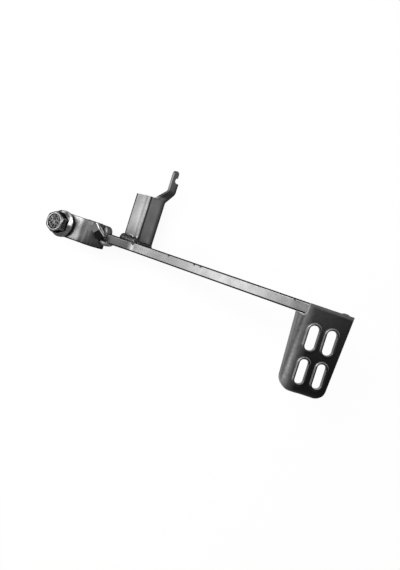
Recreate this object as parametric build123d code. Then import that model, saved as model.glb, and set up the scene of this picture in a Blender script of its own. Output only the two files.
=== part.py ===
from build123d import *
from math import atan2, cos, degrees, radians, sin, sqrt, tan
import os

# Foot brake pedal with a pinch-clamp hub, a flat-bar arm on edge, a slotted steel foot pad and a
# hooked spring bracket. Millimetres. The origin is the centre of the pivot bore. +X runs from the
# pivot towards the pad, +Y is the spring-bracket side, +Z is up, and the pad faces up.

# Main sizes
ARM_CREST_X = 213.6         # reach: pivot to where the arm levels out under the pad
PAD_SEAT_Z = 99.7           # height of the arm's top under the pad
PAD_LENGTH = 78.1           # along Y
PAD_WIDTH = 47.0            # along X, at the arm
BRACKET_LENGTH = 50.1       # the folded angle, without its tab

# Hub and pivot
HUB_WIDTH = 25.0            # along the pivot axis
HUB_RADIUS = 15.0
HUB_EDGE_BREAK = 0.7
BUSH_OUTER_RADIUS = 10.0    # the hub bore is the same size: a press fit
SLEEVE_RADIUS = 8.0
SLEEVE_BORE_RADIUS = 5.1    # takes a 10 mm pivot bolt
SLEEVE_PROUD = 0.5          # each end stands past the hub, so the frame grips the sleeve only
SLEEVE_CHAMFER = 0.5
RUNNING_CLEARANCE = 0.05    # radial, between sleeve and bushes
GREASE_GAP = 1.5            # between the two bushes

# Clamp ears and pinch bolt
EAR_TILT = 25.0             # degrees the bolt seat leans away from the pad
BOLT_REACH = 26.2           # pivot axis to bolt axis
UPPER_EAR = 5.0
CLAMP_SLIT = 2.5
LOWER_EAR = 9.0
EAR_FILLET = 3.0
THREAD_RADIUS = 5.9         # M12
BOLT_HOLE_CLEARANCE = 0.6   # radial, upper ear
THREAD_CLEARANCE = 0.08     # radial, lower ear
BOLT_LENGTH = 25.0
BOLT_TIP_CHAMFER = 1.2
BOLT_FLANGE_RADIUS = 13.9
BOLT_FLANGE_EDGE = 1.6
BOLT_FLANGE_RISE = 2.0      # height of the flange's cone above its edge
BOLT_HEX_FLATS = 19.6
BOLT_HEX_TURN = 28.0        # degrees from the hub's side of the bolt to a corner
BOLT_HEAD_HEIGHT = 12.8
BOLT_CORNER_RADIUS = 10.9   # the forged corners are not quite full
HEAD_CHAMFER_RADIUS = 8.9
CHAMFER_ANGLE = 30.0        # of hexagons
HEAD_RECESS_RADIUS = 7.9
HEAD_RECESS_DEPTH = 0.9
WASHER_RADIUS = 13.5
WASHER_BORE_RADIUS = 6.5
WASHER_THICKNESS = 2.5
WASHER_EDGE = 0.4

# Arm: a flat bar standing on edge
ARM_THICKNESS = 10.0
ARM_OFFSET = 0.45           # of its middle from the hub's, towards the bracket
ARM_TOP_Z = 9.0             # top edge of the level part beside the hub
ARM_DEPTH = 24.0            # of the level part
ARM_DEPTH_AT_PAD = 18.0
ARM_TONGUE_DEPTH = 13.0     # under the pad
ARM_TONGUE_LENGTH = 32.0
ARM_KINK_X = 43.0           # where the level part turns up
ARM_KINK_ROUND = 14.0
ARM_CREST_ROUND = 12.0
ARM_SHOULDER_ROUND = 4.5
ARM_END_ROUND = 4.0
ARM_EDGE_ROUND = 1.5
ARM_HUB_GAP = 0.2           # root gap of the weld
ARM_LAP = 6.0               # bar and beads start this far inside the hub's circle

# Foot pad
PAD_THICKNESS = 2.5
PAD_PROUD = 0.35            # near edge past the arm's bracket side
PAD_OVERHANG = 8.5          # flange's outer face past the arm's crest, towards the hub
PAD_LEFT_SLANT = 4.3        # degrees; the pad narrows away from the arm
PAD_RIGHT_SLANT = 1.9
PAD_FLANGE_HEIGHT = 14.0
PAD_BEND_NEAR = 4.5         # outer bend radius at the arm
PAD_BEND_FAR = 7.5          # and at the far end
PAD_CORNER_NEAR_FLANGE = 11.5
PAD_CORNER_FREE = 11.0
PAD_RIM_HEIGHT = 4.2        # what is left of the turned-down rim along the far end
PAD_RIM_RUN = 16.0          # over which the flange fades into that rim
NOTCH_DEPTH = 6.7           # from the flange's outer face
NOTCH_CLEARANCE = 0.4       # beside the arm
NOTCH_ROUND = 3.2

# Slots of the pad, with raised rims
SLOT_MARGIN_ARM_SIDE = 16.7
SLOT_MARGIN_FAR_END = 9.8
SLOT_MARGIN_FLANGE = 14.1
SLOT_MARGIN_FREE_EDGE = 8.2
SLOT_BRIDGE_ALONG = 8.0     # between one slot's end and the next
SLOT_BRIDGE_ACROSS = 6.7
SLOT_FAR_NARROWING = 1.25   # the far pair is narrower by this
SLOT_TWIST = 1.7            # degrees the group is turned from square
SLOT_CORNER_SHARE = 0.44    # corner radius as a share of the slot's width
RIM_WALL = 1.9
RIM_HEIGHT = 1.9
RIM_ROUND = 0.9
RIM_FOOT = 0.8

# Spring bracket: a folded angle with a stepped hook tab
BRACKET_SHEET = 3.0
BRACKET_LEG = 21.0
BRACKET_LEFT_EXTRA = 2.3    # the leg on the hub's side is this much wider
BRACKET_LEAN = 0.8          # degrees from square to the arm, towards the hub
BRACKET_RIDGE_X = 47.1
BRACKET_RIDGE_Z = 8.4
BRACKET_BEND = 4.0
BRACKET_TILT = 45.0         # each leg slopes down from the ridge by this
TAB_LENGTH = 32.5           # past the end of the angle
TAB_STEP = 11.2             # how far the hook stands out from its leg
TAB_STEP_RUN = 10.5
TAB_STEP_START = 1.0        # before the end of the angle
TAB_BEND = 2.5
TAB_ROOT_LEFT = 7.6         # distances from the ridge, along the leg
TAB_LEFT = 11.6
TAB_LIP = 18.0
TAB_TIP_ROUND = 3.0
HOOK_FROM_ANGLE = 23.2      # end of the angle to the middle of the notch
HOOK_REACH = 18.0
HOOK_RADIUS = 2.6

# Welded nut on the hub's shoulder, one corner down
NUT_FLATS = 16.0            # M10
NUT_HEIGHT = 8.0
NUT_HOLE_RADIUS = 4.25
NUT_MOUTH_CHAMFER = 0.7
NUT_CHAMFER_RADIUS = 7.8
NUT_INSET = 6.0             # from the hub's side nearest the pad
NUT_Y = 4.3
NUT_TURN = 46.5             # degrees from +X towards +Y
NUT_SINK = 5.2              # lower corner below the crown of the hub
NUT_SEAT_GAP = 0.2
NUT_WELD_FOOT_RADIUS = 8.6
NUT_WELD_TOP_RADIUS = 6.2
NUT_WELD_RISE = 1.6         # above the crown of the hub

# Weld beads
HUB_WELD_LEG_BRACKET = 6.9
HUB_WELD_RUN_BRACKET = 4.8
HUB_WELD_LEG_PAD = 3.8
HUB_WELD_RUN_PAD = 8.5
HUB_WELD_BULGE = 0.14       # as a share of the leg
HUB_WELD_TOP_DROP = 0.8
BRACKET_WELD_FOOT = 4.5
BRACKET_WELD_RISE = 6.0
BRACKET_WELD_LIGHT = 2.6    # foot and rise of the light bead
BRACKET_WELD_STOP = 1.0     # the light bead ends this far short of its leg
BEAD_CROWN_OUT = 0.62       # shares of foot and rise where a bead is fullest
BEAD_CROWN_UP = 0.55
PAD_WELD_LEG = 4.5
PAD_WELD_START = 4.0        # past the crest of the arm
PAD_WELD_PROUD = 1.4        # the end bead runs out past the arm's bracket side

# Worked out from the sizes above
slope = atan2(PAD_SEAT_Z - ARM_TOP_Z, ARM_CREST_X - ARM_KINK_X)
half_hub = HUB_WIDTH / 2
half_arm = ARM_THICKNESS / 2
arm_bracket_face = ARM_OFFSET + half_arm
arm_pad_face = ARM_OFFSET - half_arm
arm_end_x = ARM_CREST_X + ARM_TONGUE_LENGTH
arm_start_x = HUB_RADIUS - ARM_LAP      # the hub's curve trims the bar from here
pad_top_z = PAD_SEAT_Z + PAD_THICKNESS
pad_left_x = ARM_CREST_X - PAD_OVERHANG
pad_right_x = pad_left_x + PAD_WIDTH
pad_near_y = arm_bracket_face + PAD_PROUD
pad_far_y = pad_near_y - PAD_LENGTH
slot_length = (PAD_LENGTH - SLOT_MARGIN_ARM_SIDE - SLOT_MARGIN_FAR_END - SLOT_BRIDGE_ALONG) / 2
slot_width = (PAD_WIDTH - SLOT_MARGIN_FLANGE - SLOT_MARGIN_FREE_EDGE - SLOT_BRIDGE_ACROSS) / 2
slot_centre_x = pad_left_x + SLOT_MARGIN_FLANGE + slot_width + SLOT_BRIDGE_ACROSS / 2
slot_centre_y = pad_near_y - SLOT_MARGIN_ARM_SIDE - slot_length - SLOT_BRIDGE_ALONG / 2
bracket_end_y = arm_bracket_face + BRACKET_LENGTH
ear_bottom = HUB_RADIUS - UPPER_EAR - CLAMP_SLIT - LOWER_EAR
nut_x = HUB_RADIUS - NUT_INSET
nut_corner = NUT_FLATS / 2 / cos(radians(30))
OVER = 5.0                  # how far cutters run past what they cut
PICK = 0.1                  # how near a size has to be for an edge or face to be picked by it


def profile_xz(points):
    """A closed face in the X-Z plane from (x, z) points."""
    return make_face(Polyline(*points, close=True))


def through_y(face, half_width):
    """Extrude a face drawn in x, z the same way to both sides of Y = 0."""
    return extrude(Plane.XZ * face, amount=half_width, both=True)


def nearest(items, x, y):
    """The vertex of a flat sketch that lies nearest to a point."""
    return items.sort_by_distance((x, y, 0))[0]


def y_cylinder(radius, length):
    return Rot(90, 0, 0) * Cylinder(radius, length)


def clamp_frame():
    """Local frame of the clamp: -X runs out along the ears, +Z is the bolt seat's normal."""
    return Rot(0, -EAR_TILT, 0)


def make_pivot_sleeve():
    length = HUB_WIDTH + 2 * SLEEVE_PROUD
    sleeve = y_cylinder(SLEEVE_RADIUS, length) - y_cylinder(SLEEVE_BORE_RADIUS, length + OVER)
    rims = sleeve.edges().filter_by(GeomType.CIRCLE)
    outer = [e for e in rims if abs(e.radius - SLEEVE_RADIUS) < SLEEVE_CHAMFER]
    return chamfer(outer, SLEEVE_CHAMFER)


def make_bush(side):
    """One plain bush; the two leave a grease gap between them and end flush with the hub."""
    length = (HUB_WIDTH - GREASE_GAP) / 2
    bore = SLEEVE_RADIUS + RUNNING_CLEARANCE
    bush = y_cylinder(BUSH_OUTER_RADIUS, length) - y_cylinder(bore, length + OVER)
    return Pos(0, side * (GREASE_GAP + length) / 2, 0) * bush


def make_hub_clamp():
    """Hub with two ears and a slit between them, rounded round the bolt in plan."""
    ear_length = BOLT_REACH + half_hub
    ear_height = HUB_RADIUS - ear_bottom
    ears = Pos(-ear_length / 2, ear_bottom + ear_height / 2) * Rectangle(ear_length, ear_height)
    face = Circle(HUB_RADIUS) + ears
    corner_x = -sqrt(HUB_RADIUS**2 - ear_bottom**2)
    face = fillet(nearest(face.vertices(), corner_x, ear_bottom), EAR_FILLET)
    slit_z = HUB_RADIUS - UPPER_EAR - CLAMP_SLIT / 2
    slit = Pos(-(ear_length + OVER) / 2, slit_z) * Rectangle(ear_length + OVER, CLAMP_SLIT)
    face = face - Circle(BUSH_OUTER_RADIUS) - slit
    hub = through_y(face, half_hub)
    plan = Pos(-BOLT_REACH, 0) * Circle(half_hub)
    plan += Pos((HUB_RADIUS - BOLT_REACH) / 2 + OVER / 2, 0) * Rectangle(
        BOLT_REACH + HUB_RADIUS + OVER, HUB_WIDTH)
    hub = hub & extrude(plan, amount=2 * HUB_RADIUS, both=True)
    ends = hub.faces().filter_by(Axis.Y).filter_by(lambda f: abs(abs(f.center().Y) - half_hub) < PICK)
    hub = chamfer(ends.edges(), HUB_EDGE_BREAK)
    clear = THREAD_RADIUS + BOLT_HOLE_CLEARANCE
    hub -= Pos(-BOLT_REACH, 0, HUB_RADIUS) * Cylinder(clear, 2 * (UPPER_EAR + CLAMP_SLIT / 2))
    hub -= Pos(-BOLT_REACH, 0, ear_bottom) * Cylinder(THREAD_RADIUS + THREAD_CLEARANCE, 4 * LOWER_EAR)
    return clamp_frame() * hub


def hex_prism(flats, height, chamfer_radius, turn):
    """Hexagon standing on Z = 0, its top corners turned down to a cone."""
    body = extrude(RegularPolygon(flats / 2, 6, major_radius=False, rotation=turn), amount=height)
    corner = flats / 2 / cos(radians(30))
    drop = (corner - chamfer_radius) * tan(radians(CHAMFER_ANGLE))
    cone = make_face(Polyline((0, 0), (corner, 0), (corner, height - drop), (chamfer_radius, height),
                              (0, height), close=True))
    return body & revolve(Plane.XZ * cone, Axis.Z)


def make_clamp_bolt():
    """Flanged hexagon screw with a dished head."""
    top = BOLT_FLANGE_EDGE + BOLT_FLANGE_RISE
    flange = make_face(Polyline((0, 0), (BOLT_FLANGE_RADIUS, 0), (BOLT_FLANGE_RADIUS, BOLT_FLANGE_EDGE),
                                (BOLT_HEX_FLATS / 2, top), (0, top), close=True))
    bolt = revolve(Plane.XZ * flange, Axis.Z)
    head = hex_prism(BOLT_HEX_FLATS, BOLT_HEAD_HEIGHT, HEAD_CHAMFER_RADIUS, BOLT_HEX_TURN)
    bolt += head & Cylinder(BOLT_CORNER_RADIUS, 2 * BOLT_HEAD_HEIGHT)
    floor = BOLT_HEAD_HEIGHT - HEAD_RECESS_DEPTH
    dish = make_face(Polyline((0, floor), (HEAD_RECESS_RADIUS - HEAD_RECESS_DEPTH, floor),
                              (HEAD_RECESS_RADIUS, BOLT_HEAD_HEIGHT), (0, BOLT_HEAD_HEIGHT), close=True))
    bolt -= revolve(Plane.XZ * dish, Axis.Z)
    shank = Pos(0, 0, -BOLT_LENGTH / 2) * Cylinder(THREAD_RADIUS, BOLT_LENGTH)
    bolt += chamfer(shank.edges().group_by(Axis.Z)[0], BOLT_TIP_CHAMFER)
    return clamp_frame() * Pos(-BOLT_REACH, 0, HUB_RADIUS + WASHER_THICKNESS) * bolt


def make_washer():
    washer = Cylinder(WASHER_RADIUS, WASHER_THICKNESS)
    washer = chamfer(washer.edges().filter_by(GeomType.CIRCLE), WASHER_EDGE)
    washer -= Cylinder(WASHER_BORE_RADIUS, WASHER_THICKNESS + OVER)
    return clamp_frame() * Pos(-BOLT_REACH, 0, HUB_RADIUS + WASHER_THICKNESS / 2) * washer


def make_arm_bar():
    """Flat bar on edge: level beside the hub, sloping up, then level again under the pad."""
    bottom = ARM_TOP_Z - ARM_DEPTH
    kink_below = (ARM_KINK_X + ARM_DEPTH * tan(slope / 2), bottom)
    crest_below = (ARM_CREST_X + ARM_DEPTH_AT_PAD * sin(slope), PAD_SEAT_Z - ARM_DEPTH_AT_PAD * cos(slope))
    tongue_below = (arm_end_x, PAD_SEAT_Z - ARM_TONGUE_DEPTH)
    shoulder_x = sqrt(HUB_RADIUS**2 - ARM_TOP_Z**2)
    points = [(shoulder_x, ARM_TOP_Z), (ARM_KINK_X, ARM_TOP_Z), (ARM_CREST_X, PAD_SEAT_Z),
              (arm_end_x, PAD_SEAT_Z), tongue_below, crest_below, kink_below, (arm_start_x, bottom)]
    face = profile_xz(points)
    rounds = [(points[0], ARM_SHOULDER_ROUND), (points[1], ARM_KINK_ROUND), (points[2], ARM_CREST_ROUND),
              (points[3], ARM_END_ROUND / 2), (points[4], ARM_END_ROUND), (points[5], ARM_CREST_ROUND),
              (points[6], ARM_KINK_ROUND + ARM_DEPTH)]
    for (x, z), radius in rounds:
        face = fillet(nearest(face.vertices(), x, z), radius)
    bar = through_y(face, half_arm)
    sides = bar.faces().filter_by(Axis.Y)
    bar = Pos(0, ARM_OFFSET, 0) * fillet(sides.edges(), ARM_EDGE_ROUND)
    return bar - y_cylinder(HUB_RADIUS + ARM_HUB_GAP, HUB_WIDTH + OVER)


def hub_weld(side, leg, run):
    """Fillet bead that follows the hub's curve along one side of the arm."""
    y0 = half_arm + side * ARM_OFFSET
    y1 = y0 + leg
    toe = HUB_RADIUS + run
    bulge = HUB_WELD_BULGE * leg
    mid = ((HUB_RADIUS + toe) / 2 + bulge, (y0 + y1) / 2 + bulge)
    outline = Polyline((toe, y0), (HUB_RADIUS, y0), (HUB_RADIUS, y1))
    outline += ThreePointArc((HUB_RADIUS, y1), mid, (toe, y0))
    ring = revolve(make_face(outline), Axis.Y)
    top = ARM_TOP_Z - HUB_WELD_TOP_DROP
    height = top + ARM_TOP_Z
    bead = ring & Pos(arm_start_x + toe / 2, y0 + leg / 2, top - height / 2) * Box(toe, leg + OVER, height)
    return bead if side > 0 else mirror(bead, about=Plane.XZ)


def nut_place():
    """Frame of the nut: its axis is level and turned in plan, one corner points down."""
    return Pos(nut_x, NUT_Y, HUB_RADIUS - NUT_SINK + nut_corner) * Rot(0, 0, NUT_TURN) * Rot(0, 90, 0)


def make_weld_nut():
    """Hexagon nut on edge, its lower corner cut to the curve of the hub."""
    nut = hex_prism(NUT_FLATS, NUT_HEIGHT / 2, NUT_CHAMFER_RADIUS, 0)
    nut += mirror(nut, about=Plane.XY)
    nut -= Cylinder(NUT_HOLE_RADIUS, NUT_HEIGHT + OVER)
    mouths = [e for e in nut.edges().filter_by(GeomType.CIRCLE) if abs(e.radius - NUT_HOLE_RADIUS) < PICK]
    nut = chamfer(mouths, NUT_MOUTH_CHAMFER)
    return nut_place() * nut - y_cylinder(HUB_RADIUS + NUT_SEAT_GAP, HUB_WIDTH + OVER)


def make_nut_weld():
    """Weld metal round the foot of the nut, in the wedge between it, the hub and the arm's top edge."""
    foot_z = ARM_TOP_Z + NUT_SEAT_GAP
    height = HUB_RADIUS + NUT_WELD_RISE - foot_z
    bead = Pos(nut_x, NUT_Y, foot_z + height / 2) * Cone(NUT_WELD_FOOT_RADIUS, NUT_WELD_TOP_RADIUS, height)
    bead -= y_cylinder(HUB_RADIUS, HUB_WIDTH + OVER)
    hexagon = RegularPolygon(NUT_FLATS / 2, 6, major_radius=False)
    keep_out = extrude(hexagon, amount=NUT_HEIGHT / 2, both=True)
    keep_out += Cylinder(NUT_HOLE_RADIUS, 2 * HUB_WIDTH)
    bead -= nut_place() * keep_out
    return bead.solids()


def leg_directions():
    turn = radians(BRACKET_TILT)
    return (cos(turn), 0, -sin(turn)), (sin(turn), 0, cos(turn))


def angle_section():
    """Folded angle in the X-Z plane, ridge up."""
    t, leg = BRACKET_SHEET, BRACKET_LEG
    left = leg + BRACKET_LEFT_EXTRA
    face = make_face(Polyline((0, 0), (leg, 0), (leg, -t), (t, -t), (t, -left), (0, -left), close=True))
    face = fillet(nearest(face.vertices(), 0, 0), BRACKET_BEND)
    face = fillet(nearest(face.vertices(), t, -t), BRACKET_BEND - t)
    return Pos(BRACKET_RIDGE_X, BRACKET_RIDGE_Z) * Rot(0, 0, -BRACKET_TILT) * face


def hook_tab():
    """The stepped tab that carries on from the leg nearer the pad, with its spring notch."""
    along, out = leg_directions()
    origin = (BRACKET_RIDGE_X, 0, BRACKET_RIDGE_Z)
    t = BRACKET_SHEET
    turn = atan2(TAB_STEP, TAB_STEP_RUN)
    mitre = t * tan(turn / 2)
    start = bracket_end_y
    step_start = start - TAB_STEP_START
    end = step_start + TAB_STEP_RUN
    root = start - BRACKET_LENGTH / 4
    tip_y = start + TAB_LENGTH
    hook_y = start + HOOK_FROM_ANGLE
    tip = tip_y + OVER
    points = [(root, 0), (step_start, 0), (end, TAB_STEP), (tip, TAB_STEP), (tip, TAB_STEP - t),
              (end + mitre, TAB_STEP - t), (step_start + mitre, -t), (root, -t)]
    strip = make_face(Polyline(*points, close=True))
    for index, radius in ((1, TAB_BEND), (2, TAB_BEND + t), (5, TAB_BEND), (6, TAB_BEND + t)):
        strip = fillet(nearest(strip.vertices(), *points[index]), radius)
    side_plane = Plane(origin=origin, x_dir=(0, 1, 0), z_dir=along)
    strip = extrude(side_plane * strip, amount=BRACKET_LEG)
    step_end = end + mitre
    outline = make_face(Polyline(
        (BRACKET_BEND, root), (BRACKET_LEG, root), (BRACKET_LEG, hook_y), (TAB_LIP, hook_y),
        (TAB_LIP, tip_y), (TAB_LEFT, tip_y), (TAB_LEFT, step_end), (TAB_ROOT_LEFT, start),
        (BRACKET_BEND, start), close=True))
    outline = fillet(nearest(outline.vertices(), TAB_LIP, tip_y), TAB_TIP_ROUND)
    outline = fillet(nearest(outline.vertices(), TAB_LEFT, tip_y), TAB_TIP_ROUND)
    notch = Pos(HOOK_REACH, hook_y) * Circle(HOOK_RADIUS)
    notch += Pos(HOOK_REACH + OVER, hook_y) * Rectangle(2 * OVER, 2 * HOOK_RADIUS)
    outline -= notch
    face_plane = Plane(origin=origin, x_dir=along, z_dir=out)
    blank = extrude(face_plane * outline, amount=TAB_STEP + OVER, both=True)
    return strip & blank


def make_hook_bracket():
    """Angle and tab in one piece, leant a little and trimmed flush with the arm."""
    angle = extrude(Plane.XZ * angle_section(), amount=-BRACKET_LENGTH - OVER)
    bracket = Pos(0, arm_bracket_face - OVER, 0) * angle + hook_tab()
    root = Pos(BRACKET_RIDGE_X, arm_bracket_face, 0)
    bracket = root * Rot(0, 0, BRACKET_LEAN) * root.inverse() * bracket
    size = 4 * BRACKET_LEG
    return bracket - Pos(BRACKET_RIDGE_X, arm_bracket_face - size / 2, 0) * Box(size, size, size)


def leg_bead(plane, foot, rise, start, end):
    """Fillet bead along one leg of the bracket, on the side of the arm."""
    crown = (foot * BEAD_CROWN_OUT, rise * BEAD_CROWN_UP)
    section = make_face(Polyline((0, 0), (foot, 0), crown, (0, rise), close=True))
    section = fillet(nearest(section.vertices(), *crown), min(foot, rise) / 3)
    return extrude(plane.offset(start) * section, amount=end - start)


def make_bracket_weld():
    """Heavy bead along the leg away from the pad and round the ridge, lighter on the other leg."""
    along, out = leg_directions()
    down_left = (-out[0], 0, -out[2])
    up_left = (-along[0], 0, -along[2])
    origin = (BRACKET_RIDGE_X, arm_bracket_face, BRACKET_RIDGE_Z)
    left = Plane(origin=origin, x_dir=up_left, z_dir=down_left)
    right = Plane(origin=origin, x_dir=out, z_dir=up_left)
    bend = BRACKET_BEND / 2
    heavy = leg_bead(left, BRACKET_WELD_FOOT, BRACKET_WELD_RISE, bend, BRACKET_LEG + BRACKET_WELD_LIGHT)
    stop = BRACKET_WELD_STOP - BRACKET_LEG
    light = leg_bead(right, BRACKET_WELD_LIGHT, BRACKET_WELD_LIGHT, stop, -bend)
    bracket = make_hook_bracket()
    return [heavy - bracket, light - bracket]


def pad_section(left_x, right_x, bend, y):
    """Cross-section of the pressed sheet at one Y: flange, bend and face."""
    t, top = PAD_THICKNESS, pad_top_z
    foot = top - PAD_FLANGE_HEIGHT
    inner = bend - t
    reach = bend * cos(radians(45))
    inner_reach = inner * cos(radians(45))
    cx, cz = left_x + bend, top - bend
    outline = Polyline((left_x, foot), (left_x, cz))
    outline += ThreePointArc((left_x, cz), (cx - reach, cz + reach), (cx, top))
    outline += Polyline((cx, top), (right_x, top), (right_x, top - t), (cx, top - t))
    outline += ThreePointArc((cx, top - t), (cx - inner_reach, cz + inner_reach), (cx - inner, cz))
    outline += Polyline((cx - inner, cz), (cx - inner, foot), (left_x, foot))
    return Plane(origin=(0, y, 0), x_dir=(1, 0, 0), z_dir=(0, -1, 0)) * make_face(outline)


def slot_plan(width, grow):
    corner = width * SLOT_CORNER_SHARE + grow
    return RectangleRounded(width + 2 * grow, slot_length + 2 * grow, corner)


def slot_rim(width):
    """Raised rim of one slot, standing on Z = 0, with a rounded crest and a flared foot."""
    hole = extrude(slot_plan(width, 0), amount=RIM_HEIGHT)
    wall = extrude(slot_plan(width, RIM_WALL), amount=RIM_HEIGHT) - hole
    wall = fillet(wall.edges().group_by(Axis.Z)[-1], RIM_ROUND)
    foot = extrude(slot_plan(width, RIM_WALL + RIM_FOOT), amount=RIM_FOOT, taper=45)
    return wall + (foot - hole)


def slot_hole(width):
    """Cutter for one slot, from under the sheet to its top."""
    depth = PAD_THICKNESS + OVER
    return Pos(0, 0, -depth) * extrude(slot_plan(width, 0), amount=depth)


def slot_places():
    """Place and width of each slot: two pairs, the far pair narrower."""
    group = Pos(slot_centre_x, slot_centre_y, pad_top_z) * Rot(0, 0, SLOT_TWIST)
    half_pitch_y = (slot_length + SLOT_BRIDGE_ALONG) / 2
    half_pitch_x = (slot_width + SLOT_BRIDGE_ACROSS) / 2
    return [(group * Pos(x, y, 0), slot_width if y > 0 else slot_width - SLOT_FAR_NARROWING)
            for x in (-half_pitch_x, half_pitch_x) for y in (half_pitch_y, -half_pitch_y)]


def pad_blank(corner_y, left_far, right_far):
    """Flange and face as one sheet: lofted along the arm's side, wrapped round the far corner."""
    pad = loft([pad_section(pad_left_x, pad_right_x, PAD_BEND_NEAR, pad_near_y),
                pad_section(left_far, right_far, PAD_BEND_FAR, corner_y)], ruled=True)
    turn_x = left_far + PAD_CORNER_NEAR_FLANGE
    wrap = revolve(pad_section(left_far, turn_x, PAD_BEND_FAR, corner_y),
                   Axis((turn_x, corner_y, 0), (0, 0, 1)), revolution_arc=90)
    end_face = wrap.faces().sort_by(Axis.X)[-1]
    return pad + wrap + extrude(end_face, amount=right_far - turn_x)


def rim_fade(corner_y, left_far):
    """Cutter that lets the flange fade into the low rim of the far end."""
    start_x = left_far + PAD_THICKNESS
    foot_z, rim_z = pad_top_z - PAD_FLANGE_HEIGHT, pad_top_z - PAD_RIM_HEIGHT
    fade = profile_xz([(start_x, foot_z), (start_x + PAD_RIM_RUN, rim_z), (pad_right_x + OVER, rim_z),
                       (pad_right_x + OVER, foot_z - OVER), (start_x, foot_z - OVER)])
    return Pos(0, corner_y + OVER, 0) * extrude(Plane.XZ * fade, amount=PAD_CORNER_NEAR_FLANGE + 2 * OVER)


def free_corner(right_far):
    """Cutter that rounds the far corner away from the flange, in plan."""
    r = PAD_CORNER_FREE
    corner = Pos(right_far - r / 2 + OVER / 2, pad_far_y + r / 2 - OVER / 2) * Rectangle(r + OVER, r + OVER)
    corner -= Pos(right_far - r, pad_far_y + r) * Circle(r)
    return Pos(0, 0, pad_top_z - PAD_FLANGE_HEIGHT) * extrude(corner, amount=PAD_FLANGE_HEIGHT + OVER)


def arm_notch():
    """Cutter for the notch that lets the arm pass the flange, one corner of it round."""
    edge_x = pad_left_x + NOTCH_DEPTH
    edge_y = arm_pad_face - NOTCH_CLEARANCE
    width, length = NOTCH_DEPTH + OVER, pad_near_y - edge_y + OVER
    notch = Pos(edge_x - width / 2, edge_y + length / 2) * Rectangle(width, length)
    notch = fillet(nearest(notch.vertices(), edge_x, edge_y), NOTCH_ROUND)
    below = pad_top_z - PAD_FLANGE_HEIGHT - OVER
    return Pos(0, 0, below) * extrude(notch, amount=PAD_FLANGE_HEIGHT + 2 * OVER)


def make_foot_pad():
    """Pressed pad: wrapped flange, notch for the arm, four slots with raised rims."""
    corner_y = pad_far_y + PAD_CORNER_NEAR_FLANGE
    run = pad_near_y - corner_y
    left_far = pad_left_x + run * tan(radians(PAD_LEFT_SLANT))
    right_far = pad_right_x - run * tan(radians(PAD_RIGHT_SLANT))
    pad = pad_blank(corner_y, left_far, right_far)
    pad = pad - rim_fade(corner_y, left_far) - free_corner(right_far) - arm_notch()
    for place, width in slot_places():
        pad -= place * slot_hole(width)
        pad += place * slot_rim(width)
    return pad


def make_pad_welds():
    """Beads under the pad: one along the arm's pad side, one across the end of the tongue."""
    leg = PAD_WELD_LEG
    start = ARM_CREST_X + PAD_WELD_START
    side = make_face(Polyline((0, 0), (-leg, 0), (0, -leg), close=True))
    side_plane = Plane(origin=(start, arm_pad_face, PAD_SEAT_Z), x_dir=(0, 1, 0), z_dir=(1, 0, 0))
    along = extrude(side_plane * side, amount=arm_end_x - ARM_END_ROUND - start)
    end_plane = Plane(origin=(arm_end_x, arm_pad_face, PAD_SEAT_Z), x_dir=(-1, 0, 0), z_dir=(0, 1, 0))
    across = extrude(end_plane * side, amount=ARM_THICKNESS + PAD_WELD_PROUD)
    return [along, across]


def write(name, shape):
    """One STEP file per node; a list becomes a group of separate solids."""
    if isinstance(shape, list):
        shape = Compound(children=[s.solid() if s.solid() else s for s in shape])
    export_step(shape, f"parts/{name}.step")


def main():
    os.makedirs("parts", exist_ok=True)
    write("pivot_sleeve", make_pivot_sleeve())
    write("pivot_bush_bracket_side", make_bush(1))
    write("pivot_bush_pad_side", make_bush(-1))
    write("hub_clamp", make_hub_clamp())
    write("clamp_bolt", make_clamp_bolt())
    write("bolt_washer", make_washer())
    write("arm_bar", make_arm_bar())
    write("hub_weld_bracket_side", hub_weld(1, HUB_WELD_LEG_BRACKET, HUB_WELD_RUN_BRACKET))
    write("hub_weld_pad_side", hub_weld(-1, HUB_WELD_LEG_PAD, HUB_WELD_RUN_PAD))
    write("weld_nut", make_weld_nut())
    write("nut_weld", make_nut_weld())
    write("hook_bracket", make_hook_bracket())
    write("bracket_weld", make_bracket_weld())
    write("foot_pad", make_foot_pad())
    write("pad_welds", make_pad_welds())


main()
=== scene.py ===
# %% [markdown]
# # A brake pedal in steel: dressing a CAD frame
#
# The pedal is a flat bar on edge, welded to a pinch-clamp hub at one end and to a pressed foot pad at
# the other. A folded bracket with a stepped tab stands on its side for the return spring. The CAD
# frame gives the shapes. This lesson gives the finish: tumbled steel with painted shade on its cut
# sides, satin black paint with painted highlights, plated fasteners and rippled weld beads.

# %% Load the frame
from math import cos, radians, sin, sqrt

import bmesh
import bpy
from mathutils import Matrix, Vector


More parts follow.
